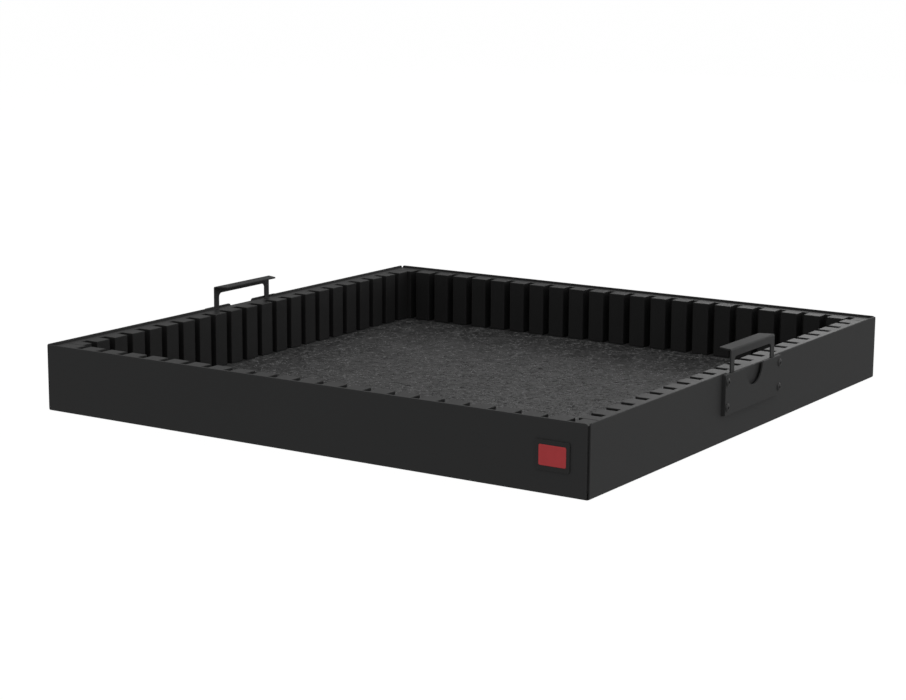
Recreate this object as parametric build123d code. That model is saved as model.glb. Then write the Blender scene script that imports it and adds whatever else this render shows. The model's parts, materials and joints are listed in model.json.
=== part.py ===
"""Lined pedalboard tray with two pull-up handles.

A folded sheet-steel tray carries slotted foam strips on its four walls and a felt mat on its floor.
Each side wall has a riveted pocket in which a bent sheet handle slides up and down.

Frame: origin at the centre of the tray's underside, +X right, +Y back, +Z up. Millimetres throughout.
The handles are modelled raised, against their upper stops.
"""
import os

from build123d import *

# ---- tray ---------------------------------------------------------------------------------------
TRAY_WIDTH = 600.0         # X, over the side walls
TRAY_DEPTH = 606.0         # Y, over the front and back walls
TRAY_HEIGHT = 64.6         # floor's underside to the rim
SHEET = 1.5                # steel sheet of the tray, covers and handles
BEND_OUTER = 2.0           # outside radius of every fold
BEND_INNER = BEND_OUTER - SHEET
CORNER_SETBACK = 2.2       # each wall and its fold stop this far short of the outer corner, which stays open
WALL_CORNER_RADIUS = 1.8   # rounding of each wall's two upper corners
EDGE_ROUNDING = 0.3        # softening of the coated sheet edges that show

# ---- lining -------------------------------------------------------------------------------------
FELT_THICKNESS = 4.9
FELT_MARGIN = 1.2          # gap between the felt and the walls, clear of the folds
FELT_TOP = SHEET + FELT_THICKNESS
FOAM_TOP = TRAY_HEIGHT - 2.0
FOAM_FACE = 24.5           # from a wall's outer face to the foam's inner face
FOAM_END_GAP = 0.2         # between a strip's end and what it butts against
SLOT_WIDTH = 7.6
SLOT_DEPTH = 14.0
SLOT_PITCH = 25.9
LONG_SLOTS = 22            # front and back strips
LONG_FIRST_SLOT = -271.0   # X of the first slot's left side
SIDE_SLOTS = 21            # left and right strips
SIDE_FIRST_SLOT = -265.0   # Y of the first slot's front side
TAPE_THICKNESS = 0.3
TAPE_WIDTH = 12.0
TAPE_BOTTOMS = (12.0, 39.0)
TAPE_END_GAP = 8.0

# ---- handle pockets, given for the right wall; the left one is the right one turned half round ----
RECESS_WIDTH = 101.0       # shallow recess in the wall's rim that takes the lowered flange
RECESS_DEPTH = 2.0
RECESS_RADIUS = 1.2
SPACER_THICKNESS = 2.3
COVER_WIDTH = 119.2
COVER_BOTTOM = 26.0
COVER_TOP = 64.0
COVER_CORNER_RADIUS = 1.5
NOTCH_RADIUS = 18.2
NOTCH_FILLET = 3.0
RIVET_SPACING_Y = 110.5
RIVET_HEIGHTS = (33.4, 57.0)
RIVET_HOLE_RADIUS = 2.05

# ---- handles ------------------------------------------------------------------------------------
HANDLE_WIDTH = 92.6
HANDLE_TOP = 85.8          # raised
HANDLE_TRAVEL = 21.2       # lowered, the flange lies flush with the rim
HANDLE_FACE_GAP = 0.3      # between the handle's outer face and the cover
CROSSBAR_HEIGHT = 7.7
LEG_WIDTH = 7.2
LEG_BOTTOM = 47.6          # raised
GRIP_CORNER_RADIUS = 4.5
FLANGE_WIDTH = 14.5
FLANGE_TAPER = 4.5
FLANGE_CORNER_RADIUS = 1.5
EAR_REACH = 3.6            # stop ears stick out sideways from the legs' feet
EAR_HEIGHT = 5.0
SIDE_PLAY = 1.0
STOP_GAP = 0.3

# ---- blind rivets -------------------------------------------------------------------------------
RIVET_RADIUS = 2.0
RIVET_HEAD_RADIUS = 3.9
RIVET_HEAD_HEIGHT = 1.4
RIVET_BORE_RADIUS = 1.1
BULB_RADIUS = 2.9
BULB_LENGTH = 3.8
MANDREL_RADIUS = 1.05
MANDREL_HEAD_RADIUS = 1.9
MANDREL_HEAD_LENGTH = 1.1
MANDREL_RECESS = 0.7       # the broken stem ends below the crown of the rivet's head
TAIL_POCKET_RADIUS = 3.6   # room for the rivet's tail in the back of the foam
TAIL_POCKET_DEPTH = 5.3

# ---- badge --------------------------------------------------------------------------------------
BADGE_WIDTH = 33.3
BADGE_HEIGHT = 26.0
BADGE_THICKNESS = 1.0
BADGE_CENTRE_X = 265.8
BADGE_CENTRE_Z = 33.5
BADGE_RADIUS = 2.0
INLAY_WIDTH = 26.6
INLAY_HEIGHT = 18.0
INLAY_RADIUS = 1.5
INLAY_DEPTH = 0.5
INLAY_CLEARANCE = 0.1
INLAY_THICKNESS = 0.45

# ---- derived ------------------------------------------------------------------------------------
HALF_WIDTH = TRAY_WIDTH / 2
HALF_DEPTH = TRAY_DEPTH / 2
FOAM_BACK = SHEET + TAPE_THICKNESS
COVER_INNER = HALF_WIDTH + SPACER_THICKNESS
COVER_OUTER = COVER_INNER + SHEET
HANDLE_OUTER = COVER_INNER - HANDLE_FACE_GAP
HANDLE_INNER = HANDLE_OUTER - SHEET
GRIP = COVER_OUTER - HALF_WIDTH + SHEET          # sheets and spacer clamped by a rivet
RIVET_CENTRES = [(y, z) for y in (-RIVET_SPACING_Y / 2, RIVET_SPACING_Y / 2) for z in RIVET_HEIGHTS]


def block(x0, x1, y0, y1, z0, z1):
    """A box between two opposite corners."""
    return Pos((x0 + x1) / 2, (y0 + y1) / 2, (z0 + z1) / 2) * Box(x1 - x0, y1 - y0, z1 - z0)


def wall_block(side, start, end, near, far, z0, z1):
    """A box that runs along a wall from start to end, between two distances in from its outer face."""
    if side == "front":
        return block(start, end, -HALF_DEPTH + near, -HALF_DEPTH + far, z0, z1)
    if side == "back":
        return block(start, end, HALF_DEPTH - far, HALF_DEPTH - near, z0, z1)
    if side == "left":
        return block(-HALF_WIDTH + near, -HALF_WIDTH + far, start, end, z0, z1)
    return block(HALF_WIDTH - far, HALF_WIDTH - near, start, end, z0, z1)


def turned(shape):
    """The same piece on the opposite wall, turned half round the tray's upright centre line."""
    return Rot(0, 0, 180) * shape


def rivet_holes(x0, x1):
    """Four drillings along X through one pocket, between two distances from the tray's centre."""
    length = x1 - x0
    return [
        Pos((x0 + x1) / 2, y, z) * Rot(0, 90, 0) * Cylinder(RIVET_HOLE_RADIUS, length)
        for y, z in RIVET_CENTRES
    ]


# ---- tray ---------------------------------------------------------------------------------------
def folded_wall(half_run):
    """A wall whose outer face is at y = 0: a plate with rounded upper corners, and its fold to the floor."""
    height = TRAY_HEIGHT - BEND_OUTER
    outline = Pos(0, BEND_OUTER + height / 2) * Rectangle(2 * half_run, height)
    outline = fillet(outline.vertices().group_by(Axis.Y)[-1], WALL_CORNER_RADIUS)
    ring = Circle(BEND_OUTER) - Circle(BEND_INNER)
    quarter = ring & Pos(-BEND_OUTER / 2, -BEND_OUTER / 2) * Rectangle(BEND_OUTER, BEND_OUTER)
    fold = extrude(Plane.YZ * Pos(BEND_OUTER, BEND_OUTER) * quarter, amount=half_run, both=True)
    return extrude(Plane.XZ * outline, amount=-SHEET) + fold


def make_tray_shell():
    floor = block(-HALF_WIDTH + BEND_OUTER, HALF_WIDTH - BEND_OUTER,
                  -HALF_DEPTH + BEND_OUTER, HALF_DEPTH - BEND_OUTER, 0, SHEET)
    front = folded_wall(HALF_WIDTH - CORNER_SETBACK)
    side = folded_wall(HALF_DEPTH - CORNER_SETBACK)
    recess = Pos(0, SHEET / 2, TRAY_HEIGHT) * Box(RECESS_WIDTH, 2 * SHEET, 2 * RECESS_DEPTH)
    recess = fillet(recess.edges().filter_by(Axis.Y), RECESS_RADIUS)
    side = side - recess
    tray = floor
    for turn in (0, 180):
        tray += Rot(0, 0, turn) * Pos(0, -HALF_DEPTH, 0) * front
        tray += Rot(0, 0, turn) * Rot(0, 0, -90) * Pos(0, -HALF_WIDTH, 0) * side
    rim = [edge for edge in tray.edges() if edge.bounding_box().min.Z > TRAY_HEIGHT - 2 * WALL_CORNER_RADIUS]
    tray = fillet(rim, EDGE_ROUNDING)
    holes = rivet_holes(HALF_WIDTH - 3 * SHEET, HALF_WIDTH + SHEET)
    return tray - holes - [turned(hole) for hole in holes]


# ---- lining -------------------------------------------------------------------------------------
def make_felt_mat():
    half_x = HALF_WIDTH - SHEET - FELT_MARGIN
    half_y = HALF_DEPTH - SHEET - FELT_MARGIN
    return block(-half_x, half_x, -half_y, half_y, SHEET, FELT_TOP)


def make_foam(side):
    """A foam strip with evenly spaced slots, open to the inside, for loose divider boards."""
    if side in ("front", "back"):
        half_run = HALF_WIDTH - SHEET - FOAM_END_GAP
        first, count = LONG_FIRST_SLOT, LONG_SLOTS
    else:
        half_run = HALF_DEPTH - FOAM_FACE - FOAM_END_GAP
        first, count = SIDE_FIRST_SLOT, SIDE_SLOTS
    strip = wall_block(side, -half_run, half_run, FOAM_BACK, FOAM_FACE, FELT_TOP, FOAM_TOP)
    starts = [first + i * SLOT_PITCH for i in range(count)]
    strip -= [
        wall_block(side, start, start + SLOT_WIDTH, FOAM_FACE - SLOT_DEPTH, FOAM_FACE + 1,
                   FELT_TOP - 1, FOAM_TOP + 1)
        for start in starts
    ]
    if side in ("left", "right"):
        depth = FOAM_BACK + TAIL_POCKET_DEPTH
        tail = Pos(HALF_WIDTH - depth / 2, 0, 0) * Rot(0, 90, 0) * Cylinder(TAIL_POCKET_RADIUS, depth)
        pockets = [Pos(0, y, z) * tail for y, z in RIVET_CENTRES]
        strip -= [turned(pocket) for pocket in pockets] if side == "left" else pockets
    return strip


def make_tape(side):
    """Two bands of double-sided tape between a wall and its foam strip."""
    half = HALF_WIDTH if side in ("front", "back") else HALF_DEPTH - FOAM_FACE
    half_run = half - TAPE_END_GAP
    return [wall_block(side, -half_run, half_run, SHEET, FOAM_BACK, z, z + TAPE_WIDTH) for z in TAPE_BOTTOMS]


# ---- handle pockets -----------------------------------------------------------------------------
def make_cover():
    """Flat cover with a half-round finger notch, its mouth eased by two small arcs."""
    height = COVER_TOP - COVER_BOTTOM
    outline = RectangleRounded(COVER_WIDTH, height, COVER_CORNER_RADIUS)
    outline -= Pos(0, height / 2) * Circle(NOTCH_RADIUS)
    mouth = outline.vertices().group_by(Axis.Y)[-1].sort_by(Axis.X)[1:-1]
    outline = fillet(mouth, NOTCH_FILLET)
    place = Plane.YZ.offset(COVER_INNER) * Pos(0, COVER_BOTTOM + height / 2)
    cover = extrude(place * outline, amount=SHEET)
    outer_rim = cover.faces().sort_by(Axis.X)[-1].outer_wire().edges()
    cover = fillet(outer_rim, EDGE_ROUNDING)
    return cover - rivet_holes(HALF_WIDTH, COVER_OUTER + SHEET)


def make_spacer(end):
    """Stepped strip that keeps a cover off the wall and stops the handle's ear; end is -1 or 1 along Y."""
    leg_side = HANDLE_WIDTH / 2 + SIDE_PLAY
    ear_side = leg_side + EAR_REACH + STOP_GAP
    shoulder = LEG_BOTTOM + EAR_HEIGHT + STOP_GAP
    outer = COVER_WIDTH / 2
    spans = [(ear_side, COVER_BOTTOM, COVER_TOP), (leg_side, shoulder, COVER_TOP)]
    strip = None
    for inner, z0, z1 in spans:
        y0, y1 = sorted((end * inner, end * outer))
        piece = block(HALF_WIDTH, COVER_INNER, y0, y1, z0, z1)
        strip = piece if strip is None else strip + piece
    return strip - rivet_holes(HALF_WIDTH - SHEET, COVER_OUTER)


# ---- handles ------------------------------------------------------------------------------------
def make_handle():
    """A U cut from sheet, with stop ears at its feet and a flange folded inward at the top."""
    fold_start = HANDLE_TOP - BEND_OUTER
    fold_centre_x = HANDLE_OUTER - BEND_OUTER
    height = fold_start - LEG_BOTTOM
    crossbar_bottom = HANDLE_TOP - CROSSBAR_HEIGHT
    window_height = 2 * (crossbar_bottom - LEG_BOTTOM)
    window = RectangleRounded(HANDLE_WIDTH - 2 * LEG_WIDTH, window_height, GRIP_CORNER_RADIUS)
    outline = Pos(0, LEG_BOTTOM + height / 2) * Rectangle(HANDLE_WIDTH, height)
    outline += Pos(0, LEG_BOTTOM + EAR_HEIGHT / 2) * Rectangle(HANDLE_WIDTH + 2 * EAR_REACH, EAR_HEIGHT)
    outline -= Pos(0, crossbar_bottom - window_height / 2) * window
    upright = extrude(Plane.YZ.offset(HANDLE_INNER) * outline, amount=SHEET)
    sheared = [edge for face in upright.faces().filter_by(Axis.X).sort_by(Axis.X) for edge in face.edges()
               if edge.bounding_box().max.Z < fold_start - EDGE_ROUNDING]
    upright = fillet(sheared, EDGE_ROUNDING)

    ring = Circle(BEND_OUTER) - Circle(BEND_INNER)
    quarter = ring & Pos(BEND_OUTER / 2, BEND_OUTER / 2) * Rectangle(BEND_OUTER, BEND_OUTER)
    bend = extrude(Plane.XZ * Pos(fold_centre_x, fold_start) * quarter, amount=HANDLE_WIDTH / 2, both=True)

    half = HANDLE_WIDTH / 2
    lip_x = HANDLE_OUTER - FLANGE_WIDTH
    flange_outline = make_face(Polyline(
        (fold_centre_x, -half), (fold_centre_x, half),
        (lip_x, half - FLANGE_TAPER), (lip_x, -half + FLANGE_TAPER), close=True))
    flange_outline = fillet(flange_outline.vertices().group_by(Axis.X)[0], FLANGE_CORNER_RADIUS)
    flange = extrude(Pos(0, 0, HANDLE_TOP - SHEET) * flange_outline, amount=SHEET)
    lip = [edge for face in flange.faces().filter_by(Axis.Z) for edge in face.edges()
           if edge.bounding_box().max.X < fold_centre_x - EDGE_ROUNDING or edge.length < FLANGE_WIDTH]
    flange = fillet(lip, EDGE_ROUNDING)
    return upright + bend + flange


# ---- rivets -------------------------------------------------------------------------------------
def make_rivet():
    """A set blind rivet along X: head at x = 0 and outwards, tail bulb on the far side of the grip."""
    tail = -GRIP - BULB_LENGTH
    crown_x = RIVET_HEAD_HEIGHT
    edge_x = 0.25 * RIVET_HEAD_HEIGHT
    lip_radius = RIVET_BORE_RADIUS + 0.3
    outline = Polyline((edge_x, RIVET_HEAD_RADIUS), (0, RIVET_HEAD_RADIUS), (0, RIVET_RADIUS), (-GRIP, RIVET_RADIUS))
    bulb = ThreePointArc((-GRIP, RIVET_RADIUS), (-GRIP - 0.4 * BULB_LENGTH, BULB_RADIUS), (tail, RIVET_RADIUS))
    bore = Polyline((tail, RIVET_RADIUS), (tail, RIVET_BORE_RADIUS), (crown_x, RIVET_BORE_RADIUS),
                    (crown_x, lip_radius))
    dome = ThreePointArc((crown_x, lip_radius), (0.8 * crown_x, 0.68 * RIVET_HEAD_RADIUS),
                         (edge_x, RIVET_HEAD_RADIUS))
    return revolve(make_face(outline + bulb + bore + dome), Axis.X)


def make_mandrel():
    """The part of the pulled stem that stays in the rivet, with its head against the tail."""
    tail = -GRIP - BULB_LENGTH
    end = tail - MANDREL_HEAD_LENGTH
    broken = RIVET_HEAD_HEIGHT - MANDREL_RECESS
    outline = Polyline((end, 0), (broken, 0), (broken, MANDREL_RADIUS), (tail, MANDREL_RADIUS),
                       (tail, MANDREL_HEAD_RADIUS), (end + 0.4, MANDREL_HEAD_RADIUS),
                       (end, MANDREL_HEAD_RADIUS - 0.5), close=True)
    return revolve(make_face(outline), Axis.X)


def at_rivets(piece):
    """Four copies of a rivet's piece at the right pocket's rivet centres."""
    return [Pos(COVER_OUTER, y, z) * piece for y, z in RIVET_CENTRES]


# ---- badge --------------------------------------------------------------------------------------
def badge_panel(width, height, radius, outer_y, thickness):
    """A rounded plate parallel to the front wall whose outer face lies at outer_y."""
    place = Plane.XZ.offset(-outer_y) * Pos(BADGE_CENTRE_X, BADGE_CENTRE_Z)
    return extrude(place * RectangleRounded(width, height, radius), amount=-thickness)


def make_badge_plate():
    face = -HALF_DEPTH - BADGE_THICKNESS
    plate = badge_panel(BADGE_WIDTH, BADGE_HEIGHT, BADGE_RADIUS, face, BADGE_THICKNESS)
    plate = fillet(plate.faces().sort_by(Axis.Y)[0].outer_wire().edges(), EDGE_ROUNDING)
    return plate - badge_panel(INLAY_WIDTH, INLAY_HEIGHT, INLAY_RADIUS, face, INLAY_DEPTH)


def make_badge_inlay():
    floor_y = -HALF_DEPTH - BADGE_THICKNESS + INLAY_DEPTH
    cut = 2 * INLAY_CLEARANCE
    return badge_panel(INLAY_WIDTH - cut, INLAY_HEIGHT - cut, INLAY_RADIUS - INLAY_CLEARANCE,
                       floor_y - INLAY_THICKNESS, INLAY_THICKNESS)


# ---- the assembly -------------------------------------------------------------------------------
def make_parts():
    """Every node's name and its solid, or the list of its solids."""
    parts = {"tray_shell": make_tray_shell(), "felt_mat": make_felt_mat()}
    for side in ("front", "back", "left", "right"):
        parts["foam_" + side] = make_foam(side)
        parts["tape_" + side] = make_tape(side)

    right = {
        "cover": make_cover(),
        "handle": make_handle(),
        "rivets": at_rivets(make_rivet()),
        "mandrels": at_rivets(make_mandrel()),
    }
    for name, shape in right.items():
        parts[name + "_right"] = shape
        parts[name + "_left"] = [turned(s) for s in shape] if isinstance(shape, list) else turned(shape)
    front_spacer, back_spacer = make_spacer(-1), make_spacer(1)
    parts["spacer_right_front"] = front_spacer
    parts["spacer_right_back"] = back_spacer
    parts["spacer_left_back"] = turned(front_spacer)
    parts["spacer_left_front"] = turned(back_spacer)

    parts["badge_plate"] = make_badge_plate()
    parts["badge_inlay"] = make_badge_inlay()
    return parts


def write_parts(parts):
    os.makedirs("parts", exist_ok=True)
    for name, shape in parts.items():
        if isinstance(shape, list):
            shape = Compound(children=[solid for piece in shape for solid in piece.solids()])
        export_step(shape, f"parts/{name}.step")


write_parts(make_parts())
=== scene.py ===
import json
import math

import bmesh
import bpy
from mathutils import Matrix, Vector


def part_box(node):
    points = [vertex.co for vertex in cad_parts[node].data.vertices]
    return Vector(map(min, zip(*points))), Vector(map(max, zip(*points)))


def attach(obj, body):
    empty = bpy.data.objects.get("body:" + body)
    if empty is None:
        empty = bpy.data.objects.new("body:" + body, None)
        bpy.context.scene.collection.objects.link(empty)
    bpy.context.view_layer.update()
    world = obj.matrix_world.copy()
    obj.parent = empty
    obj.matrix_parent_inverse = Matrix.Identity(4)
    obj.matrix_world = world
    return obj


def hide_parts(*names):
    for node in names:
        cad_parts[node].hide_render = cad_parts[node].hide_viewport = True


# Looks of a lined pedalboard tray with two pull-up handles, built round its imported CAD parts.
# Metres, the CAD's frame: origin under the middle of the tray, +X right, +Y back, +Z up.

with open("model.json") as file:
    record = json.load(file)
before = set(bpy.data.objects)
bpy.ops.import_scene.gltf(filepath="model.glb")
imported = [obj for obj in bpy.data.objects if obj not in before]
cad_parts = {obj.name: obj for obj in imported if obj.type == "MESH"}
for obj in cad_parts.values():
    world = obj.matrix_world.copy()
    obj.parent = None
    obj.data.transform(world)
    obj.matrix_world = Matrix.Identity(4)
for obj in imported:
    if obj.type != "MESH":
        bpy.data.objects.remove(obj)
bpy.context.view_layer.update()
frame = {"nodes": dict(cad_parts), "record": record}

MM = 0.001

# ---- foam strips ----------------------------------------------------------------------------------
SLOT_WIDTH = 7.6 * MM
SLOT_DEPTH = 14.0 * MM
SLOT_PITCH = 25.9 * MM
LONG_SLOTS = 22                  # in the front and back strips
LONG_FIRST_SLOT = -271.0 * MM    # X of the first one's left side
SIDE_SLOTS = 21                  # in the left and right strips
SIDE_FIRST_SLOT = -265.0 * MM    # Y of the first one's front side
FOAM_ROUNDING = 0.6 * MM         # how far the cut edges are eased
OVERSHOOT = 1.0 * MM             # how far a cutter passes the face that it opens
RIVET_HEAD_RADIUS = 3.9 * MM
TAIL_POCKET_RADIUS = 3.6 * MM    # room for a rivet's tail in the back of a strip
TAIL_POCKET_DEPTH = 5.3 * MM

# ---- felt mat -------------------------------------------------------------------------------------
FELT_CELL = 4.0 * MM             # spacing of the mat's own vertices
FELT_HOLLOWS = 0.35 * MM         # deepest dip of the needled surface
FELT_LUMP = 14.0 * MM            # how wide its dips are
FIBRE_RADIUS = 0.17 * MM
FIBRE_SMALLEST = (1.2 * MM, 0.5 * MM, 1.2 * MM)   # half axes of the flattest curl
FIBRE_LARGEST = (4.2 * MM, 2.6 * MM, 1.2 * MM)    # and of the fullest
FIBRE_SWEEP = math.radians(125)
FIBRE_TILT = math.radians(2.5)
FIBRE_EDGE = 2.0 * MM            # bare border between the loose fibres and the foam

# ---- badge ----------------------------------------------------------------------------------------
ENAMEL_CORNER = 1.4 * MM
ENAMEL_CROWN = 0.3 * MM
ENAMEL_SHOULDER = 1.1 * MM


# ---- node trees -----------------------------------------------------------------------------------
class Wire:
    """One output in a node tree. A sum written on it becomes Math nodes."""

    def __init__(self, tree, socket):
        self.tree = tree
        self.socket = socket

    def math(self, operation, *values):
        return self.tree.node("ShaderNodeMath", {"operation": operation}, dict(enumerate(values)))

    def __add__(self, other):
        return self.math("ADD", self, other)

    def __radd__(self, other):
        return self.math("ADD", other, self)

    def __sub__(self, other):
        return self.math("SUBTRACT", self, other)

    def __rsub__(self, other):
        return self.math("SUBTRACT", other, self)

    def __mul__(self, other):
        return self.math("MULTIPLY", self, other)

    def __rmul__(self, other):
        return self.math("MULTIPLY", other, self)

    def __truediv__(self, other):
        return self.math("DIVIDE", self, other)

    def __rtruediv__(self, other):
        return self.math("DIVIDE", other, self)

    def __gt__(self, other):
        return self.math("GREATER_THAN", self, other)


class Tree:
    """A node tree that is being wired."""

    def __init__(self, tree):
        self.tree = tree

    def feed(self, socket, value):
        if isinstance(value, Wire):
            self.tree.links.new(value.socket, socket)
        elif value is not None:
            socket.default_value = value

    def node(self, kind, settings=None, sockets=None, out=0):
        """Adds a node, makes its settings, feeds its sockets, and returns one of its outputs."""
        made = self.tree.nodes.new(kind)
        for name, value in (settings or {}).items():
            setattr(made, name, value)
        for key, value in (sockets or {}).items():
            self.feed(made.inputs[key], value)
        return Wire(self, made.outputs[out])

    def vector(self, x, y, z):
        return self.node("ShaderNodeCombineXYZ", sockets={0: x, 1: y, 2: z})

    def axis(self, vector, index):
        return self.node("ShaderNodeSeparateXYZ", sockets={0: vector}, out=index)


# ---- finishes -------------------------------------------------------------------------------------
def grey(level, warmth=0.0):
    """A near-neutral colour; warmth above 0 leans to red and below 0 to blue."""
    return (level * (1 + warmth), level, level * (1 - warmth), 1.0)


class Finish(Tree):
    """A material: its shader's fixed sockets, and patterns laid out on the piece's own coordinates."""

    def __init__(self, name, fixed):
        self.material = bpy.data.materials.new(name)
        self.material.use_nodes = True
        super().__init__(self.material.node_tree)
        self.shader = self.tree.nodes["Principled BSDF"]
        self.place = self.node("ShaderNodeTexCoord", out="Object")
        self.set(fixed)

    def set(self, sockets):
        for name, value in sockets.items():
            self.feed(self.shader.inputs[name], value)

    def noise(self, size, detail=2.0, stretch=None, turn=0.0):
        """Soft noise whose blotches are about size across; stretch lengthens them along X, Y and Z."""
        place = self.place
        if stretch or turn:
            scale = [1 / s for s in (stretch or (1, 1, 1))]
            place = self.node("ShaderNodeMapping", {"vector_type": "TEXTURE"},
                              {"Vector": place, "Rotation": (0, 0, turn), "Scale": [1 / s for s in scale]})
        return self.node("ShaderNodeTexNoise", sockets={"Vector": place, "Scale": 1 / size, "Detail": detail})

    def cells(self, size):
        return self.node("ShaderNodeTexVoronoi", sockets={"Vector": self.place, "Scale": 1 / size})

    def step(self, value, low, high):
        """0 below low, 1 above high, and smooth between."""
        return self.node("ShaderNodeMapRange", {"interpolation_type": "SMOOTHSTEP"},
                         {"Value": value, "From Min": low, "From Max": high})

    def blend(self, low, high, share):
        """A colour between two, by share."""
        return self.node("ShaderNodeMix", {"data_type": "RGBA"}, {0: share, 6: low, 7: high}, out=2)

    def relief(self, height, depth, strength=1.0):
        """Bumps of that depth, in metres, where height goes from 0 to 1."""
        bump = self.node("ShaderNodeBump", sockets={
            "Strength": strength, "Distance": depth, "Height": height})
        self.set({"Normal": bump})


def powder_coat():
    """Satin black powder coat with a fine orange peel, rubbed a little smoother near hands and rims."""
    finish = Finish("powder_coat", {"Specular IOR Level": 0.5})
    clouds = finish.noise(90 * MM, 3.0)
    peel = finish.noise(1.7 * MM, 1.0)
    grain = finish.noise(0.45 * MM, 2.0)
    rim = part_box("tray_shell")[1].z
    rubbed = finish.step(finish.axis(finish.place, 2), rim - 2.5 * MM, rim) * finish.step(clouds, 0.35, 0.7)
    finish.set({
        "Base Color": finish.blend(grey(0.028, -0.01), grey(0.038, -0.01), 0.6 * clouds + 0.4 * grain),
        "Roughness": 0.61 + 0.06 * clouds + 0.05 * grain - 0.07 * rubbed,
    })
    finish.relief(0.7 * peel + 0.3 * grain, 0.03 * MM)
    return finish.material


def foam_skin():
    """Black closed-cell foam: a satin skin over fine cells."""
    finish = Finish("foam", {"Specular IOR Level": 0.33})
    patches = finish.noise(35 * MM, 3.0)
    cells = finish.cells(0.9 * MM)
    pores = finish.step(finish.cells(2.6 * MM), 0.16, 0.05)
    finish.set({
        "Base Color": finish.blend(grey(0.020), grey(0.029), 0.5 * patches + 0.5 * cells),
        "Roughness": 0.33 + 0.08 * patches + 0.06 * cells + 0.2 * pores,
    })
    finish.relief(cells - 0.6 * pores, 0.012 * MM)
    return finish.material


def needle_felt():
    """Charcoal needle felt: mottled, with short crossing fibres and a few pale ones."""
    finish = Finish("felt", {"Specular IOR Level": 0.55, "Sheen Weight": 0.04, "Sheen Roughness": 0.6})
    clouds = finish.noise(28 * MM, 3.0)
    mottle = finish.noise(4.5 * MM, 4.0)
    lengths = [finish.noise(0.8 * MM, 2.0, (7, 1, 1), math.radians(turn)) for turn in (20, 80, 140)]
    fibres = (lengths[0] + lengths[1] + lengths[2]) / 3
    pale = finish.step(fibres, 0.56, 0.64) * finish.step(mottle, 0.42, 0.62)
    tone = finish.step(0.2 * clouds + 0.45 * mottle + 0.35 * fibres, 0.44, 0.57)
    ground = finish.blend(grey(0.006), grey(0.062), tone)
    finish.set({
        "Base Color": finish.blend(ground, grey(0.30), 0.8 * pale),
        "Roughness": 0.38 + 0.2 * mottle,
    })
    finish.relief(0.6 * mottle + 0.4 * fibres, 1.8 * MM)
    return finish.material


def loose_fibre(name, dark, light):
    """A single fibre's finish, which varies from one stretch of the mat to the next."""
    finish = Finish(name, {"Sheen Weight": 0.2})
    share = finish.noise(2.2 * MM, 1.0)
    finish.set({
        "Base Color": finish.blend(grey(dark), grey(light), finish.step(share, 0.35, 0.65)),
        "Roughness": 0.6 + 0.2 * share,
    })
    return finish.material


def rivet_black():
    """Thin black coating on an aluminium rivet, glossier in some smears than in others, with a few small
    scuffs.
    """
    finish = Finish("black_rivet", {"Specular IOR Level": 0.5})
    smears = finish.noise(1.4 * MM, 3.0)
    scuffs = finish.step(finish.noise(0.5 * MM, 2.0, (4, 1, 1)), 0.66, 0.74)
    finish.set({
        "Base Color": finish.blend(grey(0.014), grey(0.05), 0.25 * smears + 0.3 * scuffs),
        "Roughness": 0.36 + 0.16 * smears,
    })
    finish.relief(smears, 0.02 * MM)
    return finish.material


def stem_steel():
    """Dull, torn steel of a snapped stem."""
    finish = Finish("mandrel_steel", {"Metallic": 1.0})
    torn = finish.noise(0.35 * MM, 3.0)
    finish.set({
        "Base Color": finish.blend(grey(0.05, 0.03), grey(0.16, 0.03), torn),
        "Roughness": 0.42 + 0.25 * torn,
    })
    finish.relief(torn, 0.08 * MM)
    return finish.material


def mounting_tape():
    """Off-white double-sided tape."""
    finish = Finish("tape", {"Specular IOR Level": 0.3})
    weave = finish.noise(1.2 * MM, 2.0)
    finish.set({
        "Base Color": finish.blend(grey(0.48, 0.03), grey(0.60, 0.03), weave),
        "Roughness": 0.6 + 0.2 * weave,
    })
    return finish.material


def badge_black():
    """Semi-gloss black moulding with a faint spark-eroded grain."""
    finish = Finish("badge_black", {"Specular IOR Level": 0.5})
    grain = finish.noise(0.3 * MM, 2.0)
    finish.set({
        "Base Color": finish.blend(grey(0.018), grey(0.025), grain),
        "Roughness": 0.42 + 0.1 * grain,
    })
    finish.relief(grain, 0.012 * MM)
    return finish.material


def red_enamel():
    """Smooth red enamel, a touch deeper in some places than in others."""
    finish = Finish("red_enamel", {"Coat Roughness": 0.12, "Specular IOR Level": 0.4})
    flow = finish.noise(7 * MM, 2.0)
    finish.set({
        "Base Color": finish.blend((0.66, 0.044, 0.052, 1), (0.77, 0.058, 0.066, 1), flow),
        "Roughness": 0.34 + 0.06 * flow,
        "Coat Weight": 0.35 + 0.1 * flow,
    })
    return finish.material


FINISHES = {
    "powder_coat": powder_coat(),
    "foam": foam_skin(),
    "felt": needle_felt(),
    "tape": mounting_tape(),
    "black_rivet": rivet_black(),
    "mandrel_steel": stem_steel(),
    "badge_black": badge_black(),
    "red_enamel": red_enamel(),
}


def finish_cad_nodes():
    """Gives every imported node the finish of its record's material slot."""
    slot_of = {part["node"]: part["material_slot"] for part in frame["record"]["subparts"]}
    for name, node in frame["nodes"].items():
        node.data.materials.clear()
        node.data.materials.append(FINISHES[slot_of[name]])


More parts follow.
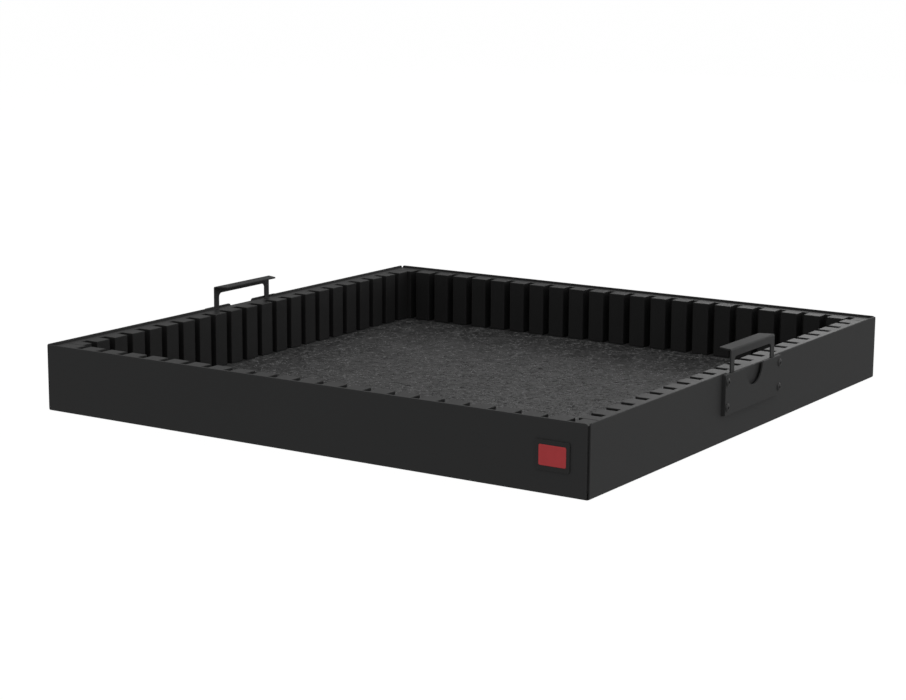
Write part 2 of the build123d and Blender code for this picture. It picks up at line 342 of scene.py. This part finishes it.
# ---- pieces made by Geometry Nodes ----------------------------------------------------------------
class Maker(Tree):
    """A Geometry Nodes tree with named inputs, which can be run on a fresh object."""

    def __init__(self, name, inputs):
        group = bpy.data.node_groups.new(name, "GeometryNodeTree")
        super().__init__(group)
        group.interface.new_socket("Geometry", in_out="OUTPUT", socket_type="NodeSocketGeometry")
        group.interface.new_socket("Geometry", in_out="INPUT", socket_type="NodeSocketGeometry")
        self.identifiers = {}
        for label, kind in inputs.items():
            socket = group.interface.new_socket(label, in_out="INPUT", socket_type="NodeSocket" + kind)
            self.identifiers[label] = socket.identifier
        self.entry = group.nodes.new("NodeGroupInput")
        self.exit = group.nodes.new("NodeGroupOutput")

    def given(self, label):
        return Wire(self, self.entry.outputs[label])

    def moved(self, geometry, by, turn=None):
        sockets = {"Geometry": geometry, "Translation": by}
        if turn is not None:
            sockets["Rotation"] = turn
        return self.node("GeometryNodeTransform", sockets=sockets)

    def cut(self, body, cutters):
        real = self.node("GeometryNodeRealizeInstances", sockets={0: cutters})
        return self.node("GeometryNodeMeshBoolean", {"operation": "DIFFERENCE"}, {
            "Mesh 1": body, "Mesh 2": real})

    def finish(self, geometry):
        real = self.node("GeometryNodeRealizeInstances", sockets={0: geometry})
        dressed = self.node("GeometryNodeSetMaterial", sockets={
            "Geometry": real, "Material": self.given("Finish")})
        self.feed(self.exit.inputs[0], dressed)

    def add_to(self, piece, values):
        modifier = piece.modifiers.new(self.tree.name, "NODES")
        modifier.node_group = self.tree
        for label, value in values.items():
            modifier[self.identifiers[label]] = value


def new_piece(name, mesh=None):
    piece = bpy.data.objects.new(name, mesh or bpy.data.meshes.new(name))
    bpy.context.scene.collection.objects.link(piece)
    return piece


def settle(piece, smooth_below=None):
    """Turns a piece's modifiers into its plain mesh; edges flatter than smooth_below are shaded smooth."""
    bpy.context.view_layer.update()
    evaluated = piece.evaluated_get(bpy.context.evaluated_depsgraph_get())
    mesh = bpy.data.meshes.new_from_object(evaluated)
    mesh.name = piece.name
    piece.modifiers.clear()
    piece.data = mesh
    if smooth_below is not None:
        mesh.shade_smooth()
        mesh.set_sharp_from_angle(angle=smooth_below)
    return piece


def comb_maker():
    """A foam strip with square slots along one face. It starts at 0, its back lies at y = 0, and its
    slots open towards +Y; Turn and Place then put it on its wall."""
    maker = Maker("slotted_strip", {
        "Size": "Vector", "Slot Width": "Float", "Slot Depth": "Float", "Pitch": "Float",
        "First Slot": "Float",
        "Slots": "Int", "Overshoot": "Float", "Turn": "Float", "Place": "Vector", "Finish": "Material"})
    size = maker.given("Size")
    length, depth, height = (maker.axis(size, i) for i in range(3))
    past = maker.given("Overshoot")
    width = maker.given("Slot Width")
    reach = maker.given("Slot Depth")
    block = maker.node("GeometryNodeMeshCube", sockets={"Size": size})
    block = maker.moved(block, maker.vector(length / 2, depth / 2, height / 2))
    cutter_size = maker.vector(width, reach + past, height + 2 * past)
    cutter = maker.node("GeometryNodeMeshCube", sockets={"Size": cutter_size})
    start = maker.vector(maker.given("First Slot") + width / 2, depth - reach / 2 + past / 2, height / 2)
    row = maker.node("GeometryNodeMeshLine", {"mode": "OFFSET"}, {
        "Count": maker.given("Slots"), "Start Location": start,
        "Offset": maker.vector(maker.given("Pitch"), 0, 0)})
    slots = maker.node("GeometryNodeInstanceOnPoints", sockets={"Points": row, "Instance": cutter})
    strip = maker.cut(block, slots)
    maker.finish(maker.moved(strip, maker.given("Place"), maker.vector(0, 0, maker.given("Turn"))))
    return maker


def pocket_maker():
    """Four round pockets, bored along X into the strip that comes in."""
    maker = Maker("tail_pockets", {
        "Middle": "Vector", "Spread Y": "Float", "Spread Z": "Float", "Radius": "Float", "Depth": "Float",
        "Finish": "Material"})
    drill = maker.node("GeometryNodeMeshCylinder", sockets={
        "Vertices": 24, "Radius": maker.given("Radius"), "Depth": 2 * maker.given("Depth")})
    corners = maker.node("GeometryNodeMeshGrid", sockets={
        "Size X": maker.given("Spread Y"), "Size Y": maker.given("Spread Z"),
        "Vertices X": 2, "Vertices Y": 2})
    drills = maker.node("GeometryNodeInstanceOnPoints", sockets={"Points": corners, "Instance": drill})
    upright = maker.moved(drills, (0, 0, 0), (math.radians(90), 0, math.radians(90)))
    maker.finish(maker.cut(maker.given("Geometry"), maker.moved(upright, maker.given("Middle"))))
    return maker


def foam_layout(side):
    """Where a strip lies: its run, thickness and height, its first slot from its start, turn and place."""
    low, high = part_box("foam_" + side)
    along = 0 if side in ("front", "back") else 1
    count, first = (LONG_SLOTS, LONG_FIRST_SLOT) if along == 0 else (SIDE_SLOTS, SIDE_FIRST_SLOT)
    last_end = first + (count - 1) * SLOT_PITCH + SLOT_WIDTH
    spans = high - low
    size = (spans[along], spans[1 - along], spans.z)
    from_low = first - low[along]
    from_high = high[along] - last_end
    places = {
        "front": (from_low, 0, (low.x, low.y, low.z)),
        "right": (from_low, 90, (high.x, low.y, low.z)),
        "back": (from_high, 180, (high.x, high.y, low.z)),
        "left": (from_high, -90, (low.x, high.y, low.z)),
    }
    offset, turn, place = places[side]
    return size, count, offset, math.radians(turn), place


def make_foam(comb, pockets):
    """The four foam strips, each cut and eased along its edges; the left and right ones are also hollowed for
    the rivets' tails.
    """
    for side in ("front", "back", "left", "right"):
        size, count, first, turn, place = foam_layout(side)
        strip = new_piece("foam_strip_" + side)
        comb.add_to(strip, {
            "Size": size, "Slot Width": SLOT_WIDTH, "Slot Depth": SLOT_DEPTH, "Pitch": SLOT_PITCH,
            "First Slot": first, "Slots": count, "Overshoot": OVERSHOOT, "Turn": turn, "Place": place,
            "Finish": FINISHES["foam"]})
        ease = strip.modifiers.new("eased_edges", "BEVEL")
        ease.width = FOAM_ROUNDING
        ease.segments = 3
        ease.limit_method = "ANGLE"
        ease.harden_normals = False
        if side in ("left", "right"):
            low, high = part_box("rivets_" + side)
            wall_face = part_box("foam_" + side)[0 if side == "left" else 1].x
            middle = (low + high) / 2
            pockets.add_to(strip, {
                "Middle": (wall_face, middle.y, middle.z),
                "Spread Y": high.y - low.y - 2 * RIVET_HEAD_RADIUS,
                "Spread Z": high.z - low.z - 2 * RIVET_HEAD_RADIUS,
                "Radius": TAIL_POCKET_RADIUS, "Depth": TAIL_POCKET_DEPTH, "Finish": FINISHES["foam"]})
        settle(strip, smooth_below=math.radians(10))
        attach(strip, "tray")
        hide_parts("foam_" + side)


def mat_maker():
    """A thick mat whose top dips gently."""
    maker = Maker("felt_mat_surface", {
        "Size": "Vector", "Middle": "Vector", "Cells X": "Int", "Cells Y": "Int", "Dip": "Float",
        "Lump": "Float",
        "Finish": "Material"})
    slab = maker.node("GeometryNodeMeshCube", sockets={
        "Size": maker.given("Size"), "Vertices X": maker.given("Cells X"),
        "Vertices Y": maker.given("Cells Y")})
    spot = maker.node("GeometryNodeInputPosition")
    lumps = maker.node("ShaderNodeTexNoise", sockets={
        "Vector": spot, "Scale": 1 / maker.given("Lump"), "Detail": 2.0})
    on_top = maker.axis(spot, 2) > 0.0
    dipped = maker.node("GeometryNodeSetPosition", sockets={
        "Geometry": slab, "Offset": maker.vector(0, 0, -1 * on_top * lumps * maker.given("Dip"))})
    maker.finish(maker.moved(dipped, maker.given("Middle")))
    return maker


def fibre_maker():
    """Short curled fibres strewn flat over a rectangle."""
    maker = Maker("loose_fibres", {
        "Width": "Float", "Length": "Float", "Middle": "Vector", "Density": "Float", "Smallest": "Vector",
        "Largest": "Vector", "Sweep": "Float", "Tilt": "Vector", "Radius": "Float", "Seed": "Int",
        "Finish": "Material"})
    seed = maker.given("Seed")
    ground = maker.node("GeometryNodeMeshGrid", sockets={
        "Size X": maker.given("Width"), "Size Y": maker.given("Length"), "Vertices X": 2, "Vertices Y": 2})
    spots = maker.node("GeometryNodeDistributePointsOnFaces", sockets={
        "Mesh": ground, "Density": maker.given("Density"), "Seed": seed})
    curl = maker.node("GeometryNodeCurveArc", sockets={
        "Resolution": 5, "Radius": 1.0, "Sweep Angle": maker.given("Sweep")})
    turn = maker.node("FunctionNodeRandomValue", {"data_type": "FLOAT_VECTOR"}, {
        0: (0, 0, 0), 1: maker.given("Tilt"), "Seed": seed})
    stretch = maker.node("FunctionNodeRandomValue", {"data_type": "FLOAT_VECTOR"}, {
        0: maker.given("Smallest"), 1: maker.given("Largest"), "Seed": seed + 1})
    strewn = maker.node("GeometryNodeInstanceOnPoints", sockets={
        "Points": spots, "Instance": curl, "Rotation": turn, "Scale": stretch})
    lines = maker.node("GeometryNodeRealizeInstances", sockets={0: strewn})
    ring = maker.node("GeometryNodeCurvePrimitiveCircle", sockets={
        "Resolution": 3, "Radius": maker.given("Radius")})
    tubes = maker.node("GeometryNodeCurveToMesh", sockets={
        "Curve": lines, "Profile Curve": ring, "Fill Caps": True})
    maker.finish(maker.moved(tubes, maker.given("Middle")))
    return maker


def make_felt(mats, fibres):
    """The felt mat, and the loose fibres on the part of it that shows."""
    low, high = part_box("felt_mat")
    middle, size = (low + high) / 2, high - low
    mat = new_piece("felt_floor_mat")
    mats.add_to(mat, {
        "Size": tuple(size), "Middle": tuple(middle), "Cells X": round(size.x / FELT_CELL),
        "Cells Y": round(size.y / FELT_CELL), "Dip": FELT_HOLLOWS, "Lump": FELT_LUMP,
        "Finish": FINISHES["felt"]})
    settle(mat, smooth_below=math.radians(30))

    inner_width = 2 * (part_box("foam_right")[0].x - FIBRE_EDGE)
    inner_length = 2 * (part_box("foam_back")[0].y - FIBRE_EDGE)
    sorts = [("pale", 20000, 11, loose_fibre("pale_fibre", 0.10, 0.46)),
             ("grey", 20000, 13, loose_fibre("grey_fibre", 0.03, 0.14)),
             ("dark", 9000, 12, loose_fibre("dark_fibre", 0.012, 0.04))]
    for name, density, seed, finish in sorts:
        strand = new_piece("felt_fibres_" + name)
        fibres.add_to(strand, {
            "Width": inner_width, "Length": inner_length, "Middle": (0, 0, high.z - 0.3 * FELT_HOLLOWS),
            "Density": density, "Smallest": FIBRE_SMALLEST, "Largest": FIBRE_LARGEST, "Sweep": FIBRE_SWEEP,
            "Tilt": (FIBRE_TILT, FIBRE_TILT, 2 * math.pi), "Radius": FIBRE_RADIUS, "Seed": seed,
            "Finish": finish})
        settle(strand, smooth_below=math.radians(180))
        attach(strand, "tray")
    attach(mat, "tray")
    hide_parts("felt_mat")


# ---- badge ----------------------------------------------------------------------------------------
def rounded_outline(half_width, half_height, radius, steps=8):
    """Points round a rectangle with round corners, counter-clockwise."""
    points = []
    for quarter in range(4):
        turn = quarter * math.pi / 2
        x = (half_width - radius) * (1 if quarter in (0, 3) else -1)
        y = (half_height - radius) * (1 if quarter in (0, 1) else -1)
        for step in range(steps + 1):
            angle = turn + step / steps * math.pi / 2
            points.append((x + radius * math.cos(angle), y + radius * math.sin(angle)))
    return points


def make_enamel():
    """The badge's red enamel, poured with a soft shoulder all round."""
    low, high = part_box("badge_inlay")
    middle = (low + high) / 2
    half_width, half_height = (high.x - low.x) / 2, (high.z - low.z) / 2
    rings = [(0.0, high.y)]
    for step in range(6):
        angle = step / 5 * math.pi / 2
        rings.append((ENAMEL_SHOULDER * (1 - math.cos(angle)), low.y - ENAMEL_CROWN * math.sin(angle)))
    shape = bmesh.new()
    loops = []
    for inset, y in rings:
        outline = rounded_outline(half_width - inset, half_height - inset, ENAMEL_CORNER - inset)
        loops.append([shape.verts.new((middle.x + x, y, middle.z + z)) for x, z in outline])
    for near, far in zip(loops, loops[1:]):
        for i in range(len(near)):
            j = (i + 1) % len(near)
            shape.faces.new((near[i], near[j], far[j], far[i]))
    shape.faces.new(loops[0])
    shape.faces.new(loops[-1])
    bmesh.ops.recalc_face_normals(shape, faces=shape.faces)
    mesh = bpy.data.meshes.new("badge_enamel")
    shape.to_mesh(mesh)
    shape.free()
    mesh.materials.append(FINISHES["red_enamel"])
    mesh.shade_smooth()
    mesh.set_sharp_from_angle(angle=math.radians(50))
    enamel = new_piece("badge_enamel", mesh)
    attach(enamel, "tray")
    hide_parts("badge_inlay")


# ---- studio ---------------------------------------------------------------------------------------
LENS = 85.845                    # millimetres, on the sensor below
SENSOR_WIDTH = 36.0
FAR_CLIP = 100.0
CAMERA_AZIMUTH = math.radians(33.027)
CAMERA_ELEVATION = math.radians(11.101)
CAMERA_ROLL = math.radians(0.345)
CAMERA_DISTANCE = 2.3965
CAMERA_TARGET = Vector((-0.1424, 0.1732, 0.0))

FLOOR_RADIUS = 9.0
SWEEP_RADIUS = 3.0
SWEEP_STEPS = 12
FLOOR_SIDES = 96
FLOOR_GLOW = 0.98
SKY = 0.31

# name, centre, width, height and radiance of each soft panel, which faces the tray
PANELS = [
    ("back_panel", (0.15, 4.0, 1.25), 4.0, 2.3, 1.05),
    ("top_panel", (0.6, -0.6, 3.2), 3.2, 3.2, 0.9),
    ("right_panel", (4.0, 1.2, 1.2), 2.6, 2.0, 1.2),
]


def make_camera():
    back = Vector((math.sin(CAMERA_AZIMUTH) * math.cos(CAMERA_ELEVATION),
                   -math.cos(CAMERA_AZIMUTH) * math.cos(CAMERA_ELEVATION), math.sin(CAMERA_ELEVATION)))
    camera = bpy.data.objects.new("camera", bpy.data.cameras.new("camera"))
    bpy.context.scene.collection.objects.link(camera)
    camera.data.lens = LENS
    camera.data.sensor_width = SENSOR_WIDTH
    camera.data.clip_end = FAR_CLIP
    facing = (-back).to_track_quat("-Z", "Y").to_matrix().to_4x4()
    camera.matrix_world = (Matrix.Translation(CAMERA_TARGET + CAMERA_DISTANCE * back) @ facing
                           @ Matrix.Rotation(CAMERA_ROLL, 4, "Z"))
    bpy.context.scene.camera = camera


def make_floor():
    """A white round floor that sweeps up at its edge. It shows, but the tray doesn't mirror it."""
    shape = bmesh.new()
    profile = [(0.6 * FLOOR_RADIUS, 0.0)]
    for step in range(SWEEP_STEPS + 1):
        angle = step / SWEEP_STEPS * math.pi / 2
        profile.append((FLOOR_RADIUS + SWEEP_RADIUS * math.sin(angle), SWEEP_RADIUS * (1 - math.cos(angle))))
    rings = []
    for radius, z in profile:
        turns = [2 * math.pi * i / FLOOR_SIDES for i in range(FLOOR_SIDES)]
        rings.append([shape.verts.new((radius * math.cos(t), radius * math.sin(t), z)) for t in turns])
    shape.faces.new(rings[0])
    for near, far in zip(rings, rings[1:]):
        for i in range(FLOOR_SIDES):
            j = (i + 1) % FLOOR_SIDES
            shape.faces.new((near[i], far[i], far[j], near[j]))
    mesh = bpy.data.meshes.new("studio_floor")
    shape.to_mesh(mesh)
    shape.free()
    mesh.shade_smooth()
    finish = Finish("studio_floor", {
        "Roughness": 1.0, "Specular IOR Level": 0.0, "Emission Color": (1, 1, 1, 1),
        "Emission Strength": FLOOR_GLOW})
    finish.set({"Base Color": finish.blend(grey(0.05), grey(0.06), finish.noise(0.3))})
    mesh.materials.append(finish.material)
    floor = new_piece("studio_floor", mesh)
    floor.visible_glossy = False
    floor.visible_diffuse = False
    floor.visible_shadow = False


def make_lights():
    world = bpy.data.worlds.new("studio")
    world.use_nodes = True
    background = world.node_tree.nodes["Background"]
    background.inputs["Color"].default_value = (1, 1, 1, 1)
    background.inputs["Strength"].default_value = SKY
    bpy.context.scene.world = world
    for name, centre, width, height, radiance in PANELS:
        light = bpy.data.lights.new(name, "AREA")
        light.shape = "RECTANGLE"
        light.size = width
        light.size_y = height
        light.energy = radiance * math.pi * width * height
        panel = bpy.data.objects.new(name, light)
        bpy.context.scene.collection.objects.link(panel)
        panel.location = centre
        panel.rotation_mode = "QUATERNION"
        panel.rotation_quaternion = (-Vector(centre)).to_track_quat("-Z", "Y")
        panel.visible_camera = False


# ---- everything -----------------------------------------------------------------------------------
make_camera()
finish_cad_nodes()
make_foam(comb_maker(), pocket_maker())
make_felt(mat_maker(), fibre_maker())
make_enamel()
make_floor()
make_lights()
bpy.context.scene.view_settings.view_transform = "Standard"
